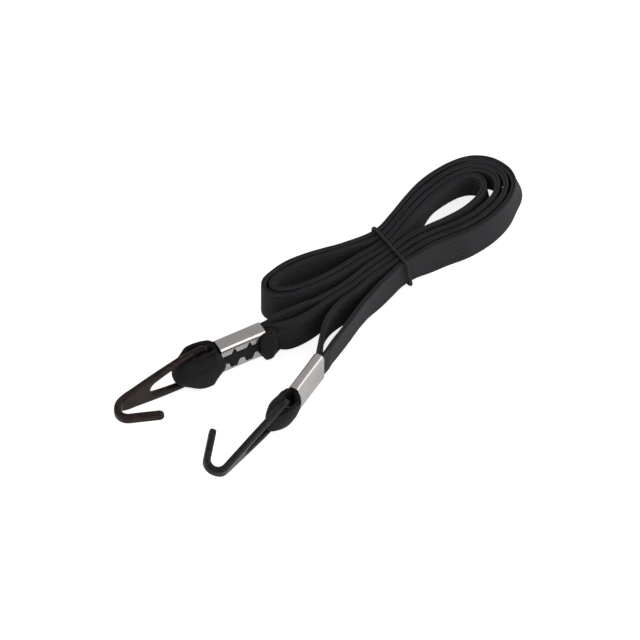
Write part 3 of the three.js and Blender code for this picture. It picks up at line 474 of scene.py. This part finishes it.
def mixed(tree, share, dark, light):
    return add_node(tree, "ShaderNodeMix", {0: share, 6: dark, 7: light}, data_type="RGBA").outputs[2]


def new_effect(name, inputs, outputs):
    group = bpy.data.node_groups.new(name, "ShaderNodeTree")
    for side, sockets in (("INPUT", inputs), ("OUTPUT", outputs)):
        for label, kind in sockets.items():
            group.interface.new_socket(label, in_out=side, socket_type="NodeSocket" + kind)
    return group, group.nodes.new("NodeGroupInput").outputs, group.nodes.new("NodeGroupOutput").inputs


def new_material(name, constants):
    material = bpy.data.materials.new(name)
    material.use_nodes = True
    shader = next(node for node in material.node_tree.nodes if node.type == "BSDF_PRINCIPLED")
    for key, value in constants.items():
        shader.inputs[key].default_value = value
    return material, material.node_tree, shader


def dress(tree, shader, colour, height, strength, depth, roughness=None):
    bump = add_node(tree, "ShaderNodeBump", {"Height": height, "Strength": strength, "Distance": depth})
    tree.links.new(colour, shader.inputs["Base Color"])
    tree.links.new(bump.outputs["Normal"], shader.inputs["Normal"])
    if roughness:
        tree.links.new(roughness, shader.inputs["Roughness"])


# Woven elastic, near black: fine crosswise picks, lengthwise streaks and fuzz.
weave, given, result = new_effect(
    "elastic_weave", {"Vector": "Vector", "Dark": "Color", "Light": "Color", "Pick Scale": "Float"},
    {"Color": "Color", "Height": "Float"})
picks = add_node(weave, "ShaderNodeTexWave", {
    "Vector": given["Vector"], "Scale": given["Pick Scale"], "Distortion": 1.2, "Detail": 2.0,
    "Detail Scale": 6.0}, bands_direction="X").outputs["Fac"]
fuzz = noise(weave, given["Vector"], 26.0, 4.0, 0.7)
drawn_out = add_node(weave, "ShaderNodeMapping", {"Vector": given["Vector"], "Scale": (0.9, 14.0, 1.0)})
streaks = noise(weave, drawn_out.outputs["Vector"], 1.0, 3.0)
tone = ranged(weave, combine(weave, "MULTIPLY", streaks, fuzz), 0.12, 0.42)
weave.links.new(mixed(weave, tone, given["Dark"], given["Light"]), result["Color"])
weave.links.new(combine(weave, "MULTIPLY_ADD", picks, 0.6, fuzz), result["Height"])


def woven(name, dark, light, pick_scale, sheen):
    elastic, tree, shader = new_material(name, {
        "Roughness": 0.8, "Specular IOR Level": 0.35, "Sheen Weight": sheen, "Sheen Roughness": 0.55,
        "Sheen Tint": (0.8, 0.78, 0.86, 1.0)})
    lie = add_node(tree, "ShaderNodeUVMap", uv_map="weave").outputs["UV"]
    cloth = add_node(tree, "ShaderNodeGroup", {
        "Vector": lie, "Dark": (*dark, 1.0), "Light": (*light, 1.0), "Pick Scale": pick_scale},
        node_tree=weave).outputs
    dress(tree, shader, cloth["Color"], cloth["Height"], 0.75, 0.00014)
    return elastic


plain_elastic = woven("plain_elastic", dark=(0.0085, 0.008, 0.0098), light=(0.031, 0.0292, 0.0352),
                        pick_scale=3.6, sheen=0.1)
# A darker copy of the elastic for the loops and their cut ends: painted shade.
painted_shade_elastic = woven("painted_shade_elastic", dark=(0.0038, 0.0038, 0.004), light=(0.014, 0.0138, 0.0148),
                     pick_scale=2.6, sheen=0.06)
for piece in straps:
    piece.data.materials.append(plain_elastic)
    piece.data.materials.append(painted_shade_elastic)

# The two hooks are stamped from steel plate, bent and dip coated. Each hangs by
# its eye bar in a loop of the strap. The blank is a wide eye with a window that
# tapers to a narrow tip, measured from the middle of the eye bar.
plate_thickness, plate_rounding = 2.8, 0.95
eye_half, eye_corner, eye_bar = 8.8, 4.2, 2.8
blank_length, tip_half, neck_half = 65.5, 2.0, 4.7
taper_start, neck_distance = 12, 10
bend_radius, bend_turn = 4.3, math.radians(153)
window_length, window_nose, window_corner = 25.6, 3.2, 2.2


def inset_outline(points, inset):
    ways = np.roll(points, -1, axis=0) - points
    ways /= np.linalg.norm(ways, axis=1, keepdims=True)
    inward = np.stack([-ways[:, 1], ways[:, 0]], axis=1)
    mean = inward + np.roll(inward, 1, axis=0)
    mean /= np.linalg.norm(mean, axis=1, keepdims=True)
    stretch = 1 / np.maximum((mean * inward).sum(axis=1), 0.5)
    return points + mean * (stretch * inset)[:, None]


# A plate is laid out flat as an outline with holes, gets rounded edges and lines
# to bend along, and is folded.
def bent_plate(name, outlines, thickness, rounding, bends, fold):
    plate = bmesh.new()
    angles = [math.pi / 2 * i / 4 for i in range(5)]
    levels = [(rounding * (1 - math.sin(a)), -thickness / 2 + rounding * (1 - math.cos(a))) for a in angles]
    levels += [(inset, -height) for inset, height in reversed(levels)]
    rims = []
    for outline in outlines:
        rows = []
        for inset, height in levels:
            moved = inset_outline(np.array(outline, float), inset)
            rows.append([plate.verts.new((x, y, height)) for x, y in moved])
        for row, above in zip(rows, rows[1:]):
            for i in range(len(row)):
                j = (i + 1) % len(row)
                plate.faces.new((row[i], row[j], above[j], above[i]))
        rims.append((rows[0], rows[-1]))
    for level in (0, 1):
        edges = []
        for rim in rims:
            row = rim[level]
            edges += [plate.edges.get((row[i], row[(i + 1) % len(row)])) for i in range(len(row))]
        bmesh.ops.triangle_fill(plate, edges=edges, use_beauty=True, normal=(0, 0, 2 * level - 1))
    bmesh.ops.recalc_face_normals(plate, faces=plate.faces)
    for axis, value in bends:
        bmesh.ops.bisect_plane(plate, geom=plate.verts[:] + plate.edges[:] + plate.faces[:], dist=1e-5,
                               plane_co=(value, value, 0), plane_no=(1 - axis, axis, 0))
    flat = np.array([tuple(vertex.co) for vertex in plate.verts])
    plate.verts.index_update()
    polygons = [tuple(vertex.index for vertex in face.verts) for face in plate.faces]
    plate.free()
    places = fold(flat)
    summed = np.zeros_like(places)
    for polygon in polygons:
        corners = places[list(polygon)] - places[polygon[0]]
        summed[list(polygon)] += sum(np.cross(a, b) for a, b in zip(corners[1:], corners[2:]))
    normals = summed / np.maximum(np.linalg.norm(summed, axis=1, keepdims=True), 1e-12)
    return mesh_object(name, places, polygons, normals)


def half_width(distance, reach):
    foot = reach - bend_radius - plate_thickness / 2
    neck = reach - neck_distance
    taper_end = foot + bend_radius * bend_turn / 2
    share = np.clip((distance - taper_start) / (neck - taper_start), 0, 1)
    half = eye_half + (neck_half - eye_half) * share * (share + 3) / 4
    half = half + (tip_half - neck_half) * step((distance - neck) / (taper_end - neck))
    inset = np.clip(eye_corner - (distance + eye_bar / 2), 0, eye_corner)
    half = half - eye_corner + np.sqrt(eye_corner ** 2 - inset ** 2)
    past = np.clip(distance - (blank_length - tip_half), 0, tip_half)
    return half - tip_half + np.sqrt(tip_half ** 2 - past ** 2)


def hook(name, body, reach, frame_of_hook):
    foot = reach - bend_radius - plate_thickness / 2
    bend_length = bend_radius * bend_turn
    quarter = np.linspace(0, math.pi / 2, 12)
    tip_start = blank_length - tip_half
    distances = np.concatenate([
        -eye_bar / 2 + eye_corner * (1 - np.cos(quarter[1:])), np.linspace(4, tip_start, 70),
        tip_start + tip_half * np.sin(quarter[1:-1])])
    halves = half_width(distances, reach)
    rim = [(blank_length, 0.0)] + list(zip(distances, halves))[::-1]
    rim += [(-eye_bar / 2, eye_half - eye_corner), (-eye_bar / 2, eye_corner - eye_half)]
    rim += list(zip(distances, -halves))
    wide = eye_half - eye_bar
    start = eye_bar / 2
    nose_place = start + window_length - window_nose
    fall = math.atan2(wide - window_nose, nose_place - taper_start)
    window = [(start + window_corner * (1 - math.sin(a)), wide - window_corner * (1 - math.cos(a)))
              for a in quarter[::-1]]
    leave = Vector((taper_start, wide))
    knee = Vector(((taper_start + nose_place) / 2, wide - (wide - window_nose) / 3))
    meet = Vector((nose_place + math.sin(fall) * window_nose, math.cos(fall) * window_nose))
    window += [tuple(leave * (1 - t) ** 2 + knee * 2 * t * (1 - t) + meet * t * t)
               for t in np.linspace(0, 1, 10)]
    window += [(nose_place + window_nose * math.cos(a), window_nose * math.sin(a))
               for a in np.linspace(math.pi / 2 - fall, 0, 9)[1:]]
    window += [(x, -y) for x, y in window[-2::-1]]

    def fold(flat):
        turned = np.clip((flat[:, 0] - foot) / bend_radius, 0, bend_turn)
        past = np.maximum(flat[:, 0] - foot - bend_length, 0)
        arm = bend_radius - flat[:, 2]
        x = np.minimum(flat[:, 0], foot) + np.sin(turned) * arm + np.cos(turned) * past
        y = bend_radius - np.cos(turned) * arm + np.sin(turned) * past
        folded = np.column_stack([x, y, flat[:, 1], np.ones(len(x))])
        return (folded @ np.array(frame_of_hook).T)[:, :3]

    bends = [(0, foot + bend_length * i / 24) for i in range(25)]
    bends += [(0, value) for value in np.linspace(2, foot - 2, 9)] + [(0, foot + bend_length + 2)]
    piece = bent_plate(name, [rim, window], plate_thickness, plate_rounding, bends, fold)
    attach(piece, body)
    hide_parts(body)
    return piece


def on_pivot(end, pivot, rise, swing, pitch, roll=0):
    turns = Matrix.Rotation(math.radians(swing), 4, "Z") @ Matrix.Rotation(-math.radians(pitch), 4, "Y")
    turns = turns @ Matrix.Rotation(math.radians(roll), 4, "X")
    placed = end @ Matrix.Translation((*pivot, rise)) @ turns
    return Matrix.Translation(waist) @ Matrix.Scale(mm, 4) @ placed


hook_a = hook("plate_hook_a", "hook_a", reach=45.7, frame_of_hook=on_pivot(
    end_a, pivot=(5, -0.5), rise=0.9, swing=4.5, pitch=-1.9))
hook_b = hook("plate_hook_b", "hook_b", reach=45.2, frame_of_hook=on_pivot(
    end_b, pivot=(6.75, -0.9), rise=0.28, swing=-6, pitch=1, roll=162))

# Dip coating: black, mottled by an uneven gloss and rubbed lighter in random patches.
# Hook A's black coat gets a rust-brown cast and hook B's a cool grey one, in colour and gloss tint: painted
# reflection.
mottling, given, result = new_effect(
    "coat_mottling", {"Vector": "Vector", "Dark": "Color", "Rubbed": "Color"},
    {"Color": "Color", "Roughness": "Float", "Height": "Float"})
clouds = noise(mottling, given["Vector"], 210.0, 4.0, 0.6)
spots = noise(mottling, given["Vector"], 760.0, 3.0)
grain = noise(mottling, given["Vector"], 2600.0, 2.0)
rubbing = ranged(mottling, combine(mottling, "MULTIPLY", clouds, spots), 0.16, 0.36)
mottling.links.new(mixed(mottling, rubbing, given["Dark"], given["Rubbed"]), result["Color"])
mottling.links.new(ranged(mottling, spots, 0.3, 0.7, 0.22, 0.48), result["Roughness"])
mottling.links.new(combine(mottling, "MULTIPLY_ADD", spots, 2.2, grain), result["Height"])


def coating(name, dark, rubbed, tint):
    coat, tree, shader = new_material(name, {
        "Specular IOR Level": 0.3, "Specular Tint": (*tint, 1.0), "Coat Weight": 0.1,
        "Coat Roughness": 0.14})
    place = add_node(tree, "ShaderNodeTexCoord").outputs["Object"]
    dip = add_node(tree, "ShaderNodeGroup", {
        "Vector": place, "Dark": (*dark, 1.0), "Rubbed": (*rubbed, 1.0)}, node_tree=mottling).outputs
    dress(tree, shader, dip["Color"], dip["Height"], 0.3, 0.00006, dip["Roughness"])
    return coat


# Painted reflection: a warm brown cast on hook A's coat, a cool grey one on hook B's.
hook_a.data.materials.append(coating(
    "black_coating_warm_reflection", dark=(0.0045, 0.0026, 0.0024), rubbed=(0.024, 0.0125, 0.0105),
    tint=(1.0, 0.84, 0.8)))
hook_b.data.materials.append(coating(
    "black_coating_cool_reflection", dark=(0.0045, 0.0048, 0.0055), rubbed=(0.014, 0.0155, 0.0178),
    tint=(0.9, 0.93, 1.0)))

# Each ferrule is a strip of satin sheet steel, rolled round the gathered plies
# from lip to lip and crimped on them, with two notches in each lip. The blank's
# first axis is the way round, the second the length.
ferrule_corner, pressing, sheet_rounding = 2.2, 0.14, 0.13


def ferrule(name, end, half, seam_side):
    corner = min(ferrule_corner, half - play) - wall / 2
    wide, tall = half - wall / 2, ferrule_height / 2 - wall / 2
    way = [(wide, seam_top, 1.0, 0.0)]
    for quarter, (sign_x, sign_y) in enumerate(((1, 1), (-1, 1), (-1, -1), (1, -1))):
        for angle in (np.linspace(0, 1, 17) + quarter) * math.pi / 2:
            turn_x, turn_y = math.cos(angle), math.sin(angle)
            way.append((sign_x * (wide - corner) + turn_x * corner,
                        sign_y * (tall - corner) + turn_y * corner, turn_x, turn_y))
    way.append((wide, seam_bottom, 1.0, 0.0))
    way = np.array(way)
    round_way = np.append(0.0, np.cumsum(np.linalg.norm(np.diff(way[:, :2], axis=0), axis=1)))
    total = round_way[-1]
    outline = [(0.0, -ferrule_length), (total, -ferrule_length)]
    for edge_place, sign, (depth, edge_half, root_half), places in (
            (total, -1, lower_notch, sorted(notch_places)),
            (0.0, 1, upper_notch, sorted(notch_places, reverse=True))):
        for place in places:
            offsets = ((edge_half, 0), (root_half, depth), (-root_half, depth), (-edge_half, 0))
            outline += [(edge_place + sign * deep, place + sign * beside) for beside, deep in offsets]
        outline += [(total, 0.0), (0.0, 0.0)] if sign < 0 else []

    def fold(flat):
        at = [np.interp(flat[:, 0], round_way, way[:, k]) for k in range(4)]
        normal = np.stack(at[2:], axis=1)
        normal /= np.linalg.norm(normal, axis=1, keepdims=True)
        middle = 1 - (flat[:, 1] / (ferrule_length / 2) + 1) ** 2
        pressed = pressing * np.clip(middle, 0, 1) * np.abs(normal[:, 0]) ** 4
        profile = np.stack(at[:2], axis=1) + normal * (flat[:, 2] - pressed)[:, None]
        local = np.column_stack([flat[:, 1], profile[:, 0] * seam_side, profile[:, 1]])
        turned = np.array(end.to_3x3())
        return (local @ turned.T + np.array(end.translation)) * mm + np.array(waist)

    bends = [(0, value) for value in round_way[1:-1:2]]
    bends += [(1, -ferrule_length * i / 10) for i in range(1, 10)]
    bends += [(0, (a + b) / 2) for a, b in zip(round_way, round_way[1:]) if b - a > 2]
    piece = bent_plate("rolled_" + name, [outline], wall, sheet_rounding, bends, fold)
    if seam_side < 0:
        piece.data.flip_normals()
    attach(piece, "strap")
    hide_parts(name)
    return piece


steel, tree, shader = new_material("satin_sheet_steel", {"Metallic": 1.0})
place = add_node(tree, "ShaderNodeTexCoord").outputs["Object"]
clouds = noise(tree, place, 90.0, 3.0)
brightness = mixed(tree, ranged(tree, clouds, 0.3, 0.7),
                   dark=(0.63, 0.612, 0.605, 1.0), light=(0.71, 0.695, 0.69, 1.0))
dress(tree, shader, brightness, noise(tree, place, 3800.0, 2.0), 0.06, 0.00002,
      ranged(tree, clouds, to_low=0.2, to_high=0.27))
for piece in (ferrule("ferrule_a", end_a, half_a, 1), ferrule("ferrule_b", end_b, half_b, -1)):
    piece.data.materials.append(steel)

# The rubber ring: a closed loop of round black cord, pulled tight round the
# eight runs. It slants across the hank and leans as it goes down the front.
radius, bow, ring_sides = 0.7, 2.4, 14
wander, unevenness = 0.1, 0.06
ring_slant, ring_lean = math.radians(4), math.radians(9)
half_strap = strap_thickness / 2
front, rear = waist_place(1)[1] - half_strap - play - radius, waist_place(8)[1] + half_strap + play + radius
low, high = waist_lift - play - radius, strap_width - waist_drop + radius
corners = [(rear - bow, high - bow), (front + bow, high - bow),
           (front + bow, low + bow), (rear - bow, low + bow)]
ring_line = []
for corner, (across_place, up_place) in enumerate(corners):
    for angle in (np.linspace(0, 1, 11) + corner) * math.pi / 2:
        ring_line.append((across_place + math.cos(angle) * bow, up_place + math.sin(angle) * bow))
    start = ring_line[-1]
    arrival = (corner + 1) * math.pi / 2
    stop = [c + f(arrival) * bow for c, f in zip(corners[(corner + 1) % 4], (math.cos, math.sin))]
    ring_line += [tuple(np.array(start) + (np.array(stop) - start) * i / 18) for i in range(1, 18)]
middle = (front + rear) / 2
ring_places = np.array([
    ((middle - y) * math.tan(ring_slant) + (high - z) * math.tan(ring_lean) * (y < middle), y, z)
    for y, z in ring_line])
wobble = np.random.default_rng(5).normal(0, 1, (len(ring_places), 2))
wobble = sum(np.roll(wobble, k, axis=0) for k in range(-3, 4)) / 7
ring_places[:, 0] += wander * wobble[:, 0]
ways = np.roll(ring_places, -1, axis=0) - np.roll(ring_places, 1, axis=0)
ways /= np.linalg.norm(ways, axis=1, keepdims=True)
sides_way = np.cross(ways, (1, 0, 0))
sides_way /= np.linalg.norm(sides_way, axis=1, keepdims=True)
other_way = np.cross(ways, sides_way)
angles = np.arange(ring_sides) / ring_sides * 2 * math.pi
thick = radius * (1 + unevenness * wobble[:, 1])[:, None, None]
around = sides_way[:, None] * np.cos(angles)[:, None] + other_way[:, None] * np.sin(angles)[:, None]
ring_surface = (ring_places[:, None] + around * thick) * mm + np.array(waist)
count = len(ring_places)
ring = mesh_object("tie_ring", ring_surface.reshape(-1, 3), tube_polygons(count, ring_sides, count))
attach(ring, "strap")
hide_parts("rubber_ring")
rubber, tree, shader = new_material("dull_rubber", {"Specular IOR Level": 0.4})
dust = noise(tree, add_node(tree, "ShaderNodeTexCoord").outputs["Object"], 900.0, 4.0)
dress(tree, shader,
      mixed(tree, ranged(tree, dust, 0.35, 0.7), (0.012, 0.012, 0.0125, 1.0), (0.028, 0.027, 0.028, 1.0)),
      dust, 0.25, 0.00006, ranged(tree, dust, to_low=0.5, to_high=0.72))
ring.data.materials.append(rubber)

# The floor is plain and pale. What the camera sees of it is lifted to white,
# and the object's soft shadow stays on it.
floor_half, white_lift, mirrored_share = 6, 0.8, 0.25
floor_corners = [(x * floor_half, y * floor_half, 0) for x, y in ((-1, -1), (1, -1), (1, 1), (-1, 1))]
floor = mesh_object("floor", floor_corners, [(0, 1, 2, 3)])
pale, tree, shader = new_material("pale_floor", {
    "Base Color": (0.74, 0.735, 0.73, 1.0), "Roughness": 1.0, "Specular IOR Level": 0.0,
    "Emission Color": (1.0, 1.0, 1.0, 1.0)})
rays = add_node(tree, "ShaderNodeLightPath").outputs
seen = combine(tree, "MULTIPLY_ADD", rays["Is Glossy Ray"], mirrored_share, rays["Is Camera Ray"])
tree.links.new(combine(tree, "MULTIPLY", seen, white_lift), shader.inputs["Emission Strength"])
floor.data.materials.append(pale)

# Soft studio light from the right: a broad key that draws the bright line along
# ferrule A, one beside it for ferrule B, a fill from the left and a rim.
for name, way, size, energy in (
        ("key", -away * 0.6 + right * 0.82 + Vector((0, 0, 0.75)), 1.0, 4.3),
        ("side", right * 1.1 + away * 0.18 + Vector((0, 0, 0.55)), 0.7, 1.7),
        ("fill", -right * 0.7 - away * 0.3 + Vector((0, 0, 1.1)), 0.9, 2.2),
        ("rim", away * 0.8 + right * 0.7 + Vector((0, 0, 0.6)), 0.5, 0.7)):
    lamp_data = bpy.data.lights.new(name, "AREA")
    lamp_data.size = size
    lamp_data.energy = energy
    place_facing(name, lamp_data, target + way, way).visible_camera = False
world = bpy.data.worlds.new("room")
world.use_nodes = True
room = next(node for node in world.node_tree.nodes if node.type == "BACKGROUND")
room.inputs["Color"].default_value = (0.98, 0.93, 0.91, 1.0)
room.inputs["Strength"].default_value = 0.42
bpy.context.scene.world = world
bpy.context.scene.view_settings.view_transform = "Standard"
